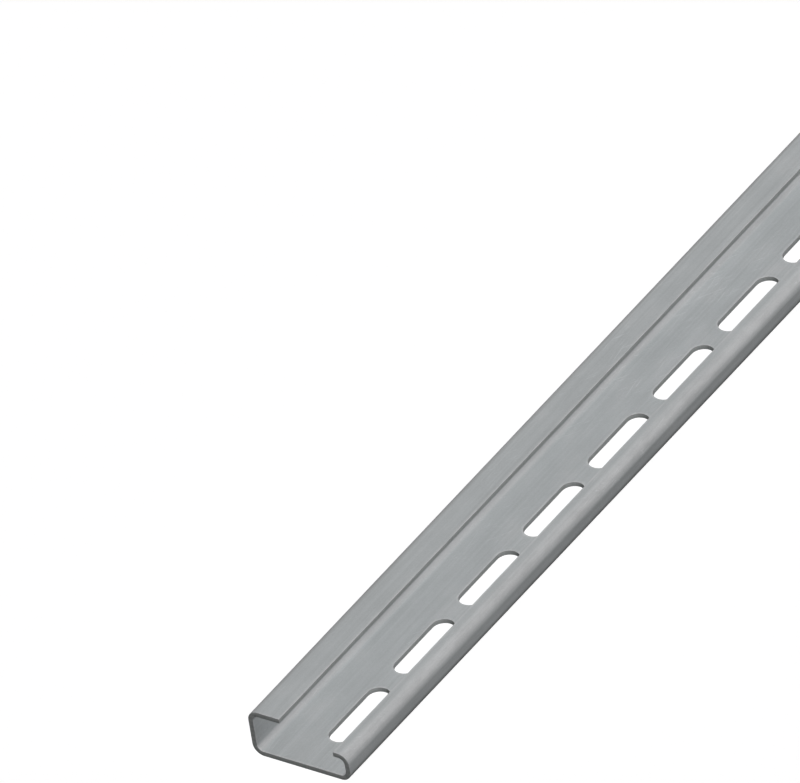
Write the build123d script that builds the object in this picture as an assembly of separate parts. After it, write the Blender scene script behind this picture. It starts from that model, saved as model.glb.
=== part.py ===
"""Slotted G-section mounting rail, 32 x 15 mm, in a 1 m length. All sizes are millimetres.

The rail is one strip of steel, roll-formed by four bends into an asymmetric channel:
a flat web with the fixing slots, a tall wall with a wide lip on one side, and a low wall
with a short curled lip on the other. Both lips turn inwards over the web and leave a mouth
between them. The slots are punched along the web, right under the mouth, so that a screw
and its driver reach them from above.

The rail lies on its web with its mouth up. X runs across it, from the tall wall to the low
wall, Y runs along it, and Z is up. The origin is on the underside of the web, at the middle
of the rail's width and length.
"""

import os

from build123d import *

RAIL_LENGTH = 1000.0
RAIL_WIDTH = 32.0  # over both walls
SHEET = 1.5  # strip thickness, the same in the web, the walls and the lips

TALL_WALL_HEIGHT = 15.0  # underside of the web to the top of the wide lip
LOW_WALL_HEIGHT = 9.0  # underside of the web to the top of the short lip
WIDE_LIP = 10.5  # outside of the tall wall to the lip's edge
SHORT_LIP = 4.9  # outside of the low wall to the lip's edge
BEND_INSIDE = 1.9  # inside radius of all four bends

SLOT_LENGTH = 25.0  # end to end, over the round ends
SLOT_WIDTH = 7.0
SLOT_PITCH = 32.2
FIRST_SLOT = 24.2  # near end of the rail to the first slot's centre
END_LAND = 5.0  # least metal left between the last slot and the far end of the rail

TALL_SIDE_X = -RAIL_WIDTH / 2
LOW_SIDE_X = RAIL_WIDTH / 2
NEAR_END_Y = -RAIL_LENGTH / 2

WIDE_LIP_EDGE_X = TALL_SIDE_X + WIDE_LIP
SHORT_LIP_EDGE_X = LOW_SIDE_X - SHORT_LIP
MOUTH_CENTRE_X = (WIDE_LIP_EDGE_X + SHORT_LIP_EDGE_X) / 2

SLOT_ROOM = RAIL_LENGTH - FIRST_SLOT - SLOT_LENGTH / 2 - END_LAND
SLOT_COUNT = int(SLOT_ROOM // SLOT_PITCH) + 1


def strip_section():
    """The bent strip as a face: its outer line, from lip edge to lip edge, thickened inwards."""
    outer_corners = [
        (WIDE_LIP_EDGE_X, TALL_WALL_HEIGHT),
        (TALL_SIDE_X, TALL_WALL_HEIGHT),
        (TALL_SIDE_X, 0),
        (LOW_SIDE_X, 0),
        (LOW_SIDE_X, LOW_WALL_HEIGHT),
        (SHORT_LIP_EDGE_X, LOW_WALL_HEIGHT),
    ]
    outer_line = FilletPolyline(*outer_corners, radius=BEND_INSIDE + SHEET)
    outline = outer_line.offset_2d(SHEET, side=Side.RIGHT)
    return make_face(Plane.XZ * outline)


def slot_punch():
    """The punch of one slot, long along Y, standing clear of the web above and below it."""
    outline = Rot(0, 0, 90) * SlotOverall(SLOT_LENGTH, SLOT_WIDTH)
    return extrude(outline, amount=2 * SHEET, both=True)


def slot_centres():
    """The centre of every slot, from the near end of the rail to the far one."""
    first_y = NEAR_END_Y + FIRST_SLOT
    return [Pos(MOUTH_CENTRE_X, first_y + i * SLOT_PITCH) for i in range(SLOT_COUNT)]


def mounting_rail():
    """The formed and punched rail, one solid."""
    formed = extrude(strip_section(), amount=RAIL_LENGTH / 2, both=True)
    punch = slot_punch()
    return formed - [centre * punch for centre in slot_centres()]


os.makedirs("parts", exist_ok=True)
rail = mounting_rail()
rail.label = "mounting_rail"
export_step(rail, "parts/mounting_rail.step")
print("slots", SLOT_COUNT, "volume", round(rail.volume), "mm3", "valid", rail.is_valid)
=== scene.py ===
"""The slotted G-section mounting rail: its fine mesh, its zinc-plated finish, the light and the camera."""

import math

import bmesh
import bpy
from mathutils import Matrix, Vector


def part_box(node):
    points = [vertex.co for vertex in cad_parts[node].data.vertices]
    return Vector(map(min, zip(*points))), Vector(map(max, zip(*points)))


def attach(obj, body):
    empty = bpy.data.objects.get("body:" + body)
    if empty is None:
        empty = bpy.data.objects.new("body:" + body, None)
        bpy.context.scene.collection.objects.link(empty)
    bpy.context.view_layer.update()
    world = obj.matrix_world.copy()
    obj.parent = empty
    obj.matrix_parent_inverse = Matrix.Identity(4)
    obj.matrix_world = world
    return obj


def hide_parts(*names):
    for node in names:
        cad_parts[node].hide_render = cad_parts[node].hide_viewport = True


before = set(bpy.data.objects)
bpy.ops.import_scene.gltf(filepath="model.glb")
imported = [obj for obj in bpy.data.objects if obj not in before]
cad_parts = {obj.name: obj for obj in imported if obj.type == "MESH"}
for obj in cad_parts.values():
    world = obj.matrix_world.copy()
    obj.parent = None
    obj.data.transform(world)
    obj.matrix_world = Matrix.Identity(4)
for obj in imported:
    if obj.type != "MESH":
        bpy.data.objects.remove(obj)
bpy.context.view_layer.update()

MM = 0.001
NODE = "mounting_rail"

# The rail's sizes, in millimetres. Its length, width and height are the frame's.
LOW_CORNER, HIGH_CORNER = (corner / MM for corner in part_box(NODE))
TALL_SIDE_X, LOW_SIDE_X = LOW_CORNER.x, HIGH_CORNER.x
NEAR_END_Y, FAR_END_Y = LOW_CORNER.y, HIGH_CORNER.y
TALL_TOP = HIGH_CORNER.z
LOW_TOP = 9.0
SHEET = 1.5
WIDE_LIP = 10.5  # outside of the tall wall to the lip's edge
SHORT_LIP = 4.9  # outside of the low wall to the lip's edge
WIDE_LIP_EDGE_X = TALL_SIDE_X + WIDE_LIP
SHORT_LIP_EDGE_X = LOW_SIDE_X - SHORT_LIP
BEND_INSIDE = 1.9  # all four bends
BEND_OUTSIDE = SHEET + BEND_INSIDE

SLOT_LENGTH = 25.0
SLOT_WIDTH = 7.0
SLOT_PITCH = 32.2
SLOT_COUNT = 30
FIRST_SLOT = 24.2  # near end of the rail to the first slot's centre
SLOT_X = (WIDE_LIP_EDGE_X + SHORT_LIP_EDGE_X) / 2
FIRST_SLOT_Y = NEAR_END_Y + FIRST_SLOT

# Small roundings that slitting, cutting to length and punching leave.
LIP_EDGE_ROUND = 0.12
END_ROUND = 0.06
PUNCH_ROLL = 0.09
PUNCH_EXIT = 0.05

# Where handling has rubbed the zinc: this far in from a free edge. On the outside of the lips' bends there
# is painted highlight, this much against 1 at an edge: strong on the short lip's bend, which faces the key
# lamp, and weak on the wide lip's, which faces away.
WEAR_REACH = 0.8
WIDE_LIP_HIGHLIGHT = 0.3
SHORT_LIP_HIGHLIGHT = 0.9

# How finely the mesh follows them. The slot's end has an even number of steps.
BEND_STEPS = 14
ROUND_STEPS = 3
SLOT_END_STEPS = 18
SLOT_MARGIN = 1.2  # flat sheet between a slot's side and the edge of its cell
SLOT_CELL = (ROUND_STEPS + 2) + 2 * (BEND_STEPS + 1)  # the station just before the slots, from the wide lip

# The mesh's two materials, and the name of its attribute for edge wear and for painted highlight on the
# lips' bends.
SKIN, CUT = 0, 1
WEAR_AND_HIGHLIGHT = "wear_and_highlight"

# The finish. Colours are from where the zinc is whole to where it is bare or rubbed; on bends the neutral
# one is painted highlight hue.
METALLIC_SHARE = 0.1
ZINC_COOL, ZINC_NEUTRAL = (0.417, 0.434, 0.441), (0.434, 0.438, 0.443)
CUT_COOL, CUT_NEUTRAL = (0.404, 0.422, 0.42), (0.414, 0.424, 0.422)
RELIEF = 0.03  # depth of lines and tears, in millimetres

# The surroundings. The floor's glow leaves it just white in the light, so that a shadow still shows.
WHITE = (1, 1, 1, 1)
FLOOR_COLOR = (0.9, 0.9, 0.9, 1)
FLOOR_GLOW = 0.247
FLOOR_HALF_SIZE = 6.0  # metres
FLOOR_GAP = 0.05  # millimetres below the rail
WORLD_LIGHT = 0.01
WORLD_SEEN = 1.0

# The photograph's frame and view: a parallel projection.
FRAME_PX = (800, 783)
PX_PER_MM = 3.70
NEAR_CORNER_PX = (254.0, 753.0)  # the foot of the tall wall at the near end
AZIMUTH, ELEVATION, ROLL = 39.36, 37.77, 9.83
CAMERA_BACK = 1.5  # metres, as is the reach
CAMERA_REACH = 15.0


def quarter(steps):
    """(sine, cosine) of the angles from 0 to 90 degrees in equal steps."""
    angles = [math.pi / 2 * i / steps for i in range(steps + 1)]
    return [(math.sin(a), math.cos(a)) for a in angles]


def bend_stations(centre, radius, first_angle, most_highlit=0):
    """Stations round a quarter bend's centre line: (place, outward direction, how much painted highlight the
    outside has).
    """
    stations = []
    for i in range(BEND_STEPS + 1):
        angle = math.radians(first_angle + 90 * i / BEND_STEPS)
        outward = Vector((math.cos(angle), math.sin(angle)))
        worn_and_highlit = most_highlit * math.sin(math.pi * i / BEND_STEPS)
        stations.append((centre + outward * radius, outward, worn_and_highlit))
    return stations


def strip_stations():
    """The strip's centre line between the two lips, in X and Z: (place, outward direction, painted highlight
    on the outside).
    """
    half = SHEET / 2
    left, right = TALL_SIDE_X + BEND_OUTSIDE, LOW_SIDE_X - BEND_OUTSIDE
    radius = BEND_OUTSIDE - half
    reach = SLOT_WIDTH / 2 + SLOT_MARGIN
    down = Vector((0, -1))
    return [
        *bend_stations(Vector((left, TALL_TOP - BEND_OUTSIDE)), radius, 90, WIDE_LIP_HIGHLIGHT),
        *bend_stations(Vector((left, BEND_OUTSIDE)), radius, 180),
        (Vector((SLOT_X - reach, half)), down, 0),
        (Vector((SLOT_X + reach, half)), down, 0),
        *bend_stations(Vector((right, BEND_OUTSIDE)), radius, 270),
        *bend_stations(Vector((right, LOW_TOP - BEND_OUTSIDE)), radius, 0, SHORT_LIP_HIGHLIGHT),
    ]


def section(inset):
    """The section shrunk by inset all round: its outer and its inner points, each with its edge wear and
    painted highlight.
    """
    half = SHEET / 2
    up = Vector((0, 1))
    roll = LIP_EDGE_ROUND - inset
    turns = quarter(ROUND_STEPS)[::-1]
    rim = [(inset + roll * (1 - sine), half - inset - roll * (1 - cosine), 1) for sine, cosine in turns]
    rim.append((WEAR_REACH, half - inset, 0))
    wide_edge = [
        (Vector((WIDE_LIP_EDGE_X - back, TALL_TOP - half)), up, thick, worn_and_highlit, worn_and_highlit)
        for back, thick, worn_and_highlit in rim
    ]
    short_edge = [
        (Vector((SHORT_LIP_EDGE_X + back, LOW_TOP - half)), up, thick, worn_and_highlit, worn_and_highlit)
        for back, thick, worn_and_highlit in rim
    ]
    between = [(place, outward, half - inset, worn_and_highlit, 0) for place, outward, worn_and_highlit in strip_stations()]
    stations = wide_edge + between + short_edge[::-1]
    outer = [(place + outward * thick, worn_and_highlit) for place, outward, thick, worn_and_highlit, _ in stations]
    inner = [(place - outward * thick, worn_and_highlit) for place, outward, thick, _, worn_and_highlit in stations]
    return outer, inner


def add_vert(bm, place, wear_and_highlight):
    """A vertex at a place in millimetres."""
    vert = bm.verts.new(place * MM)
    vert[bm.verts.layers.float[WEAR_AND_HIGHLIGHT]] = wear_and_highlight
    return vert


def add_face(bm, verts, material):
    face = bm.faces.new(verts)
    face.material_index = material
    face.smooth = True


def bridge(bm, first, second, material, leave_out=None):
    """Quads between two rows of vertices."""
    for i in range(len(first) - 1):
        if i != leave_out:
            add_face(bm, (first[i], first[i + 1], second[i + 1], second[i]), material)


def slot_loop(bm, centre_y, grow, z):
    """The vertices round one slot that is widened by grow, at height z, from +X over the far end."""
    wear_and_highlight = 0 if grow == WEAR_REACH else 1
    radius = SLOT_WIDTH / 2 + grow
    straight = (SLOT_LENGTH - SLOT_WIDTH) / 2
    loop = []
    for end in (1, -1):
        for i in range(SLOT_END_STEPS + 1):
            angle = math.pi * i / SLOT_END_STEPS
            x = SLOT_X + end * radius * math.cos(angle)
            y = centre_y + end * (straight + radius * math.sin(angle))
            loop.append(add_vert(bm, Vector((x, y, z)), wear_and_highlight))
    return loop


def fill_round_slot(bm, corners, loop):
    """The flat sheet round a slot: from each corner of its cell a fan, and between two corners one face."""
    half = SLOT_END_STEPS // 2
    far, near = loop[: SLOT_END_STEPS + 1], loop[SLOT_END_STEPS + 1 :]
    arcs = [far[: half + 1], far[half:], near[: half + 1], near[half:]]
    for k in range(4):
        after = (k + 1) % 4
        for a, b in zip(arcs[k], arcs[k][1:]):
            add_face(bm, (corners[k], a, b), SKIN)
        # At the middle of a round end the two arcs meet in one vertex, which is taken once.
        side = dict.fromkeys((corners[k], arcs[k][-1], arcs[after][0], corners[after]))
        add_face(bm, list(side), SKIN)


def add_slot(bm, centre_y, before, after):
    """One punched slot between two rows: rolled in at the top, straight, and broken at the bottom."""
    turns = quarter(ROUND_STEPS)
    rolled_in = [(PUNCH_ROLL * (1 - sine), SHEET - PUNCH_ROLL * (1 - cosine)) for sine, cosine in turns]
    broken_out = [(PUNCH_EXIT * (1 - cosine), PUNCH_EXIT * (1 - sine)) for sine, cosine in turns]
    rings = [(WEAR_REACH, SHEET), *rolled_in, *broken_out, (WEAR_REACH, 0)]
    straight_wall = len(rolled_in)
    loops = [slot_loop(bm, centre_y, grow, z) for grow, z in rings]
    for i in range(len(loops) - 1):
        first, second = loops[i], loops[i + 1]
        bridge(bm, first + first[:1], second + second[:1], CUT if i == straight_wall else SKIN)
    cell = ((after, 1), (after, 0), (before, 0), (before, 1))
    for side, loop in ((1, loops[0]), (0, loops[-1])):
        corners = [row[side][SLOT_CELL + step] for row, step in cell]
        fill_round_slot(bm, corners, loop)


def add_row(bm, inset, y, end_wear):
    """The section's vertices at one place along the rail: its outer and its inner ones."""
    return [
        [add_vert(bm, Vector((x, y, z)), max(worn_and_highlit, end_wear)) for (x, z), worn_and_highlit in side]
        for side in section(inset)
    ]


def rail_mesh():
    """The whole rail, closed: rows of the section, and a slot between each two rows that bound one."""
    bm = bmesh.new()
    bm.verts.layers.float.new(WEAR_AND_HIGHLIGHT)
    slots_y = [FIRST_SLOT_Y + i * SLOT_PITCH for i in range(SLOT_COUNT)]
    rounding = [(END_ROUND * (1 - cosine), END_ROUND * (1 - sine)) for sine, cosine in quarter(ROUND_STEPS)]
    near = [add_row(bm, inset, NEAR_END_Y + back, 1) for inset, back in rounding[::-1]]
    near.append(add_row(bm, 0, NEAR_END_Y + WEAR_REACH, 0))
    between = [add_row(bm, 0, (a + b) / 2, 0) for a, b in zip(slots_y, slots_y[1:])]
    far = [add_row(bm, 0, FAR_END_Y - WEAR_REACH, 0)]
    far += [add_row(bm, inset, FAR_END_Y - back, 1) for inset, back in rounding]
    rows = near + between + far
    for i in range(len(rows) - 1):
        before, after = rows[i], rows[i + 1]
        slot = i - len(rounding)
        has_slot = 0 <= slot < SLOT_COUNT
        for side in (0, 1):
            bridge(bm, before[side], after[side], SKIN, SLOT_CELL if has_slot else None)
        for edge in (0, -1):
            bridge(bm, (before[0][edge], before[1][edge]), (after[0][edge], after[1][edge]), CUT)
        if has_slot:
            add_slot(bm, slots_y[slot], before, after)
    for end in (rows[0], rows[-1]):
        bridge(bm, end[0], end[1], CUT)
    bmesh.ops.recalc_face_normals(bm, faces=bm.faces)
    mesh = bpy.data.meshes.new("rail")
    bm.to_mesh(mesh)
    bm.free()
    return mesh


def new_material(name):
    """A material, its node tree and its shader."""
    material = bpy.data.materials.new(name)
    material.use_nodes = True
    tree = material.node_tree
    return material, tree, tree.nodes["Principled BSDF"]


def add_node(tree, kind, inputs=None, **settings):
    """A node with its settings; each input takes either a value or the output that feeds it."""
    node = tree.nodes.new("ShaderNode" + kind)
    for name, value in settings.items():
        setattr(node, name, value)
    for name, value in (inputs or {}).items():
        if isinstance(value, bpy.types.NodeSocket):
            tree.links.new(value, node.inputs[name])
        else:
            node.inputs[name].default_value = value
    return node


def own_place(tree):
    """The rail's own coordinates, in metres."""
    return add_node(tree, "TexCoord").outputs["Object"]


def grain(tree, place, size, stretch=(1, 1, 1), turn=0, detail=3, roughness=0.55):
    """Noise whose spots are about size millimetres, made longer along the axes that stretch names.

    With a turn, in degrees, the long axes are turned about Z as well.
    """
    if turn:
        kind, scale = "TEXTURE", stretch
    else:
        kind, scale = "POINT", [1 / factor for factor in stretch]
    mapping = {"Vector": place, "Scale": scale, "Rotation": (0, 0, math.radians(turn))}
    mapped = add_node(tree, "Mapping", mapping, vector_type=kind).outputs[0]
    noise = {"Vector": mapped, "Scale": 1 / (size * MM), "Detail": detail, "Roughness": roughness}
    return add_node(tree, "TexNoise", noise).outputs[0]


def spread(tree, value, low, high, first=0.3, last=0.7):
    """value from first to last, laid over low to high."""
    limits = {"Value": value, "From Min": first, "From Max": last, "To Min": low, "To Max": high}
    return add_node(tree, "MapRange", limits).outputs[0]


def math_of(tree, operation, first, second=None):
    inputs = {0: first} if second is None else {0: first, 1: second}
    return add_node(tree, "Math", inputs, operation=operation).outputs[0]


def product(tree, *values):
    total = values[0]
    for value in values[1:]:
        total = math_of(tree, "MULTIPLY", total, value)
    return total


def tint(tree, shader, cool, neutral, share, shade):
    """The shader's colour: from cool to neutral by share, times shade."""
    inputs = {"Factor": share, 6: (*cool, 1), 7: (*neutral, 1)}
    color = add_node(tree, "Mix", inputs, data_type="RGBA").outputs[2]
    scaled = add_node(tree, "VectorMath", {0: color, "Scale": shade}, operation="SCALE")
    tree.links.new(scaled.outputs[0], shader.inputs["Base Color"])


def satin(tree, shader, roughness):
    """A dull metallic sheen over a small share of the light, as thin plating has it."""
    shader.inputs["Metallic"].default_value = METALLIC_SHARE
    shader.inputs["Specular IOR Level"].default_value = 0.0
    tree.links.new(roughness, shader.inputs["Roughness"])


def bumps(tree, shader, height):
    """Relief of RELIEF millimetres where height is 1."""
    bump = add_node(tree, "Bump", {"Height": height, "Distance": RELIEF * MM})
    tree.links.new(bump.outputs[0], shader.inputs["Normal"])


def zinc_skin():
    """Satin zinc on rolled strip: lines drawn lengthwise, clouds, fine grain, scuffs, rubbed edges, and
    painted highlight on the lips' bends.
    """
    material, tree, shader = new_material("zinc_skin")
    place = own_place(tree)
    lines = grain(tree, place, 0.9, (1, 110, 1), detail=4, roughness=0.72)
    drawn = grain(tree, place, 2.1, (1, 420, 1), detail=3, roughness=0.8)
    bands = grain(tree, place, 6, (1, 50, 1), detail=2)
    clouds = grain(tree, place, 11, (1, 1.8, 1), detail=5, roughness=0.6)
    specks = grain(tree, place, 0.45, detail=2)
    long_scuffs = grain(tree, place, 0.5, (1, 30, 1), 7)
    short_scuffs = grain(tree, place, 0.55, (1, 14, 1), -31)
    handled = spread(tree, grain(tree, place, 24, (1, 2, 1), detail=1), 0, 1, 0.4, 0.65)
    scuffs = spread(tree, math_of(tree, "MAXIMUM", long_scuffs, short_scuffs), 0, 1, 0.62, 0.7)
    scuffed = product(tree, scuffs, handled)
    normal = add_node(tree, "SeparateXYZ", {0: add_node(tree, "NewGeometry").outputs["Normal"]})
    slope = math_of(tree, "ABSOLUTE", math_of(tree, "MULTIPLY", normal.outputs["X"], normal.outputs["Z"]))
    # Painted highlight hue: how far a surface slopes between facing up and facing sideways.
    highlight_hue = spread(tree, slope, 0, 1, 0.05, 0.5)
    edge = add_node(tree, "Attribute", attribute_name=WEAR_AND_HIGHLIGHT).outputs["Fac"]
    # Edge wear, and painted highlight on the outside of the lips' bends, from the mesh's attribute: lighter
    # colour and lower roughness.
    rubbed_and_highlit = product(tree, edge, spread(tree, grain(tree, place, 1.8, (1, 3, 1)), 0.3, 1, 0.35, 0.6))
    shade = product(
        tree,
        spread(tree, lines, 0.935, 1.065),
        spread(tree, drawn, 1, 1.06, 0.6, 0.66),
        spread(tree, drawn, 0.93, 1, 0.33, 0.39),
        spread(tree, bands, 0.975, 1.025),
        spread(tree, clouds, 0.945, 1.055),
        spread(tree, specks, 0.965, 1.035),
        spread(tree, scuffed, 1, 1.16, 0, 1),
        spread(tree, rubbed_and_highlit, 1, 1.14, 0, 1),
    )
    # Painted highlight hue: bends take the more neutral hue of the bright bands that light makes there, and
    # it changes nothing else on them. Rubbed places, the painted highlight on the lips' bends and some
    # clouds are more neutral in colour too.
    rub_and_highlight_hue = math_of(tree, "MAXIMUM", highlight_hue, rubbed_and_highlit)
    neutral_hue_share = math_of(tree, "MAXIMUM", rub_and_highlight_hue, spread(tree, clouds, 0, 0.6, 0.5, 0.75))
    tint(tree, shader, ZINC_COOL, ZINC_NEUTRAL, neutral_hue_share, shade)
    dull = product(
        tree,
        spread(tree, clouds, 0.42, 0.56),
        spread(tree, lines, 0.88, 1.12),
        spread(tree, scuffed, 1, 0.75, 0, 1),
        spread(tree, rubbed_and_highlit, 1, 0.7, 0, 1),
    )
    satin(tree, shader, dull)
    bumps(tree, shader, math_of(tree, "ADD", lines, product(tree, specks, 0.25)))
    return material


def cut_steel():
    """Sheared edges under the same thin zinc: a torn band below, and a smoother, burnished one above."""
    material, tree, shader = new_material("cut_steel")
    place = own_place(tree)
    tears = grain(tree, place, 0.4, (1, 1, 9), detail=3, roughness=0.65)
    clouds = grain(tree, place, 3, detail=3)
    height = add_node(tree, "SeparateXYZ", {0: place}).outputs["Z"]
    through = math_of(tree, "FRACT", math_of(tree, "DIVIDE", height, SHEET * MM))
    wander = spread(tree, grain(tree, place, 2.2, detail=2), -0.12, 0.12)
    burnished = spread(tree, math_of(tree, "ADD", through, wander), 0, 1, 0.5, 0.62)
    shade = product(
        tree,
        spread(tree, tears, 0.92, 1.06),
        spread(tree, clouds, 0.97, 1.03),
        spread(tree, burnished, 0.96, 1.03, 0, 1),
    )
    tint(tree, shader, CUT_COOL, CUT_NEUTRAL, burnished, shade)
    satin(tree, shader, spread(tree, burnished, 0.66, 0.46, 0, 1))
    bumps(tree, shader, math_of(tree, "MULTIPLY", tears, spread(tree, burnished, 1, 0.3, 0, 1)))
    return material


def add_rail():
    rail = bpy.data.objects.new("rail", rail_mesh())
    bpy.context.scene.collection.objects.link(rail)
    rail.data.materials.append(zinc_skin())
    rail.data.materials.append(cut_steel())
    normals = rail.modifiers.new("normals", "WEIGHTED_NORMAL")
    normals.keep_sharp = False
    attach(rail, "root")
    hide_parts(NODE)


def add_sun(name, direction, strength, angle, shadow=True, gloss=True):
    """A lamp without falloff, so that the light is even along the rail. direction points to the lamp."""
    lamp = bpy.data.lights.new(name, "SUN")
    lamp.energy = strength * math.pi
    lamp.angle = math.radians(angle)
    lamp.use_shadow = shadow
    sun = bpy.data.objects.new(name, lamp)
    sun.rotation_mode = "QUATERNION"
    sun.rotation_quaternion = Vector(direction).to_track_quat("Z", "Y")
    sun.visible_glossy = gloss
    bpy.context.scene.collection.objects.link(sun)


def seen_directly(tree):
    """1 for camera, glossy and transmission rays, which show the white background, and 0 for others."""
    path = add_node(tree, "LightPath")
    total = path.outputs["Is Camera Ray"]
    for kind in ("Is Glossy Ray", "Is Transmission Ray"):
        total = math_of(tree, "MAXIMUM", total, path.outputs[kind])
    return total


def add_floor():
    """A white floor that takes the rail's shadow and sends no light back up."""
    size, z = FLOOR_HALF_SIZE, -FLOOR_GAP * MM
    mesh = bpy.data.meshes.new("floor")
    corners = [(x, y, z) for x, y in ((-size, -size), (size, -size), (size, size), (-size, size))]
    mesh.from_pydata(corners, [], [(0, 1, 2, 3)])
    floor = bpy.data.objects.new("floor", mesh)
    bpy.context.scene.collection.objects.link(floor)
    material, tree, shader = new_material("floor_white")
    shader.inputs["Base Color"].default_value = FLOOR_COLOR
    shader.inputs["Specular IOR Level"].default_value = 0.0
    shader.inputs["Emission Color"].default_value = WHITE
    glow = math_of(tree, "MULTIPLY", seen_directly(tree), FLOOR_GLOW)
    tree.links.new(glow, shader.inputs["Emission Strength"])
    mesh.materials.append(material)
    floor.visible_diffuse = False
    floor.visible_shadow = False


def add_world():
    """A faint even light from all round, behind a white that the camera and reflections see."""
    world = bpy.data.worlds.new("studio")
    world.use_nodes = True
    bpy.context.scene.world = world
    tree = world.node_tree
    back = tree.nodes["Background"]
    back.inputs["Color"].default_value = WHITE
    strength = spread(tree, seen_directly(tree), WORLD_LIGHT, WORLD_SEEN, 0, 1)
    tree.links.new(strength, back.inputs["Strength"])


def add_camera():
    """The camera, placed so that the rail's near corner falls on its pixel of the photograph."""
    azimuth, elevation, roll = (math.radians(angle) for angle in (AZIMUTH, ELEVATION, ROLL))
    flat = math.cos(elevation)
    back = Vector((math.sin(azimuth) * flat, -math.cos(azimuth) * flat, math.sin(elevation)))
    level_right = Vector((math.cos(azimuth), math.sin(azimuth), 0))
    level_up = back.cross(level_right)
    right = level_right * math.cos(roll) - level_up * math.sin(roll)
    up = back.cross(right)
    corner = Vector((TALL_SIDE_X, NEAR_END_Y, 0)) * MM
    metres_per_px = MM / PX_PER_MM
    across = (FRAME_PX[0] / 2 - NEAR_CORNER_PX[0]) * metres_per_px
    upward = (NEAR_CORNER_PX[1] - FRAME_PX[1] / 2) * metres_per_px
    data = bpy.data.cameras.new("camera")
    data.type = "ORTHO"
    data.ortho_scale = FRAME_PX[0] * metres_per_px
    data.clip_end = CAMERA_REACH
    camera = bpy.data.objects.new("camera", data)
    place = corner + right * across + up * upward + back * CAMERA_BACK
    camera.matrix_world = Matrix.Translation(place) @ Matrix((right, up, back)).transposed().to_4x4()
    bpy.context.scene.collection.objects.link(camera)
    bpy.context.scene.camera = camera


add_rail()
add_floor()
add_world()
add_sun("key", direction=(0.414, -0.187, 0.891), strength=0.875, angle=1, shadow=False)
add_sun("soft_top", direction=(0.1, -0.05, 0.99), strength=0.05, angle=40)
add_sun("bounce", direction=(-0.6, 0.55, -0.58), strength=0.6, angle=10, gloss=False)
add_camera()
bpy.context.scene.view_settings.view_transform = "Standard"
